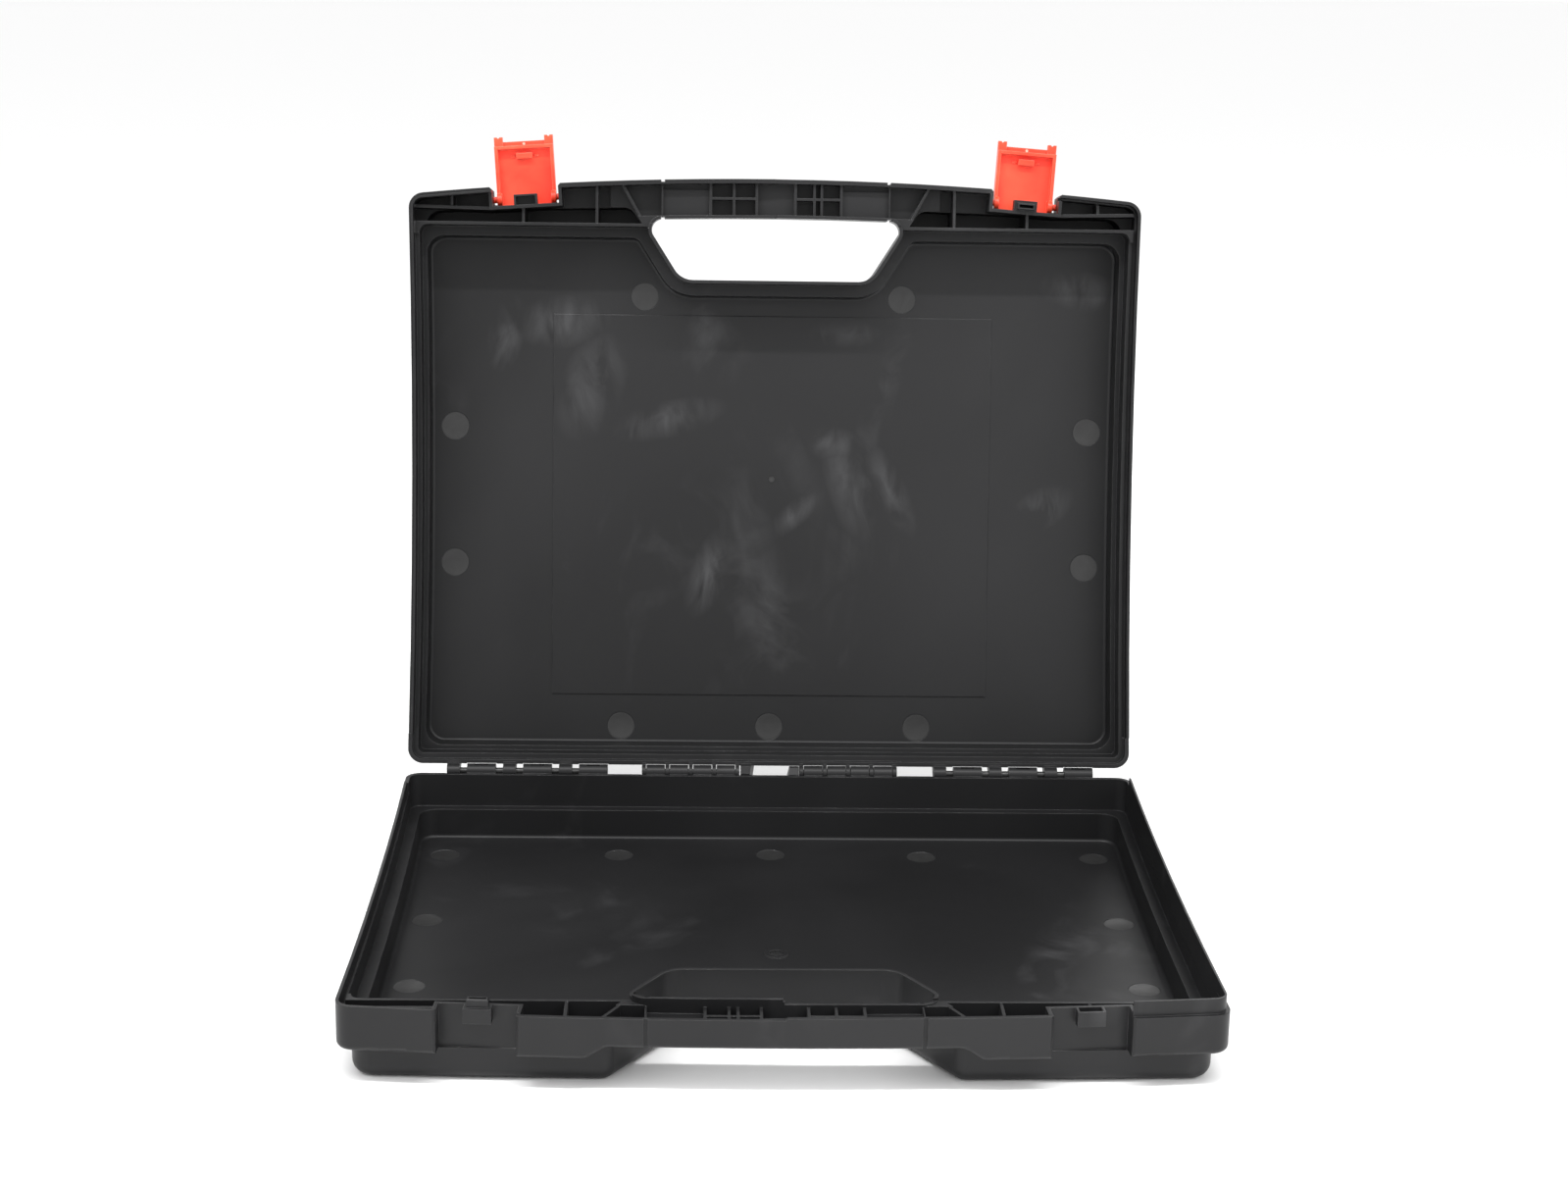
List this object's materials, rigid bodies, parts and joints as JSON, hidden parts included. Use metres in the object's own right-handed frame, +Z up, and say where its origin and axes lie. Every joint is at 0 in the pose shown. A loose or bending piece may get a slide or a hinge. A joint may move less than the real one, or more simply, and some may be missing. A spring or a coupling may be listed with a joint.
{
  "type": "hinged carry case",
  "caption": "Moulded plastic carry case, open: ribbed base tray with a hand hole and grip, hinged lid of the same form, and swinging latches on the lid.",
  "frame": {"origin": "centre of the base's outline on the plane of its flat underside, which rests on the floor", "axes": "+X to the case's right seen from the grip side, +Y from the grip to the hinge, +Z up, with the base resting flat and the lid standing open"},
  "size_m": [0.3396, 0.3579, 0.3208],
  "materials": {
    "shell_plastic": "satin, lightly scuffed",
    "latch_plastic": "satin",
    "rod_plastic": "satin"
  },
  "bodies": {
    "base": {"base_shell": "shell_plastic", "hinge_rod_outer_left": "rod_plastic", "hinge_rod_outer_right": "rod_plastic", "hinge_rod_inner_left": "rod_plastic", "hinge_rod_inner_right": "rod_plastic"},
    "lid": {"lid_shell": "shell_plastic"},
    "latch_left": {"latch_left": "latch_plastic"},
    "latch_right": {"latch_right": "latch_plastic"}
  },
  "joints": [
    {"name": "lid_hinge", "type": "hinge", "parent": "base", "child": "lid", "pos_m": [0, 0.1402, 0.0316], "axis": [1, 0, 0], "range_deg": [0, 101]},
    {"name": "latch_left_pivot", "type": "hinge", "parent": "lid", "child": "latch_left", "pos_m": [-0.11601, 0.20312, 0.29186], "axis": [0.9975, 0.0135, 0.0694], "range_deg": [0, 90]},
    {"name": "latch_right_pivot", "type": "hinge", "parent": "lid", "child": "latch_right", "pos_m": [0.11601, 0.20312, 0.29186], "axis": [0.9975, -0.0135, -0.0694], "range_deg": [0, 90]}
  ]
}
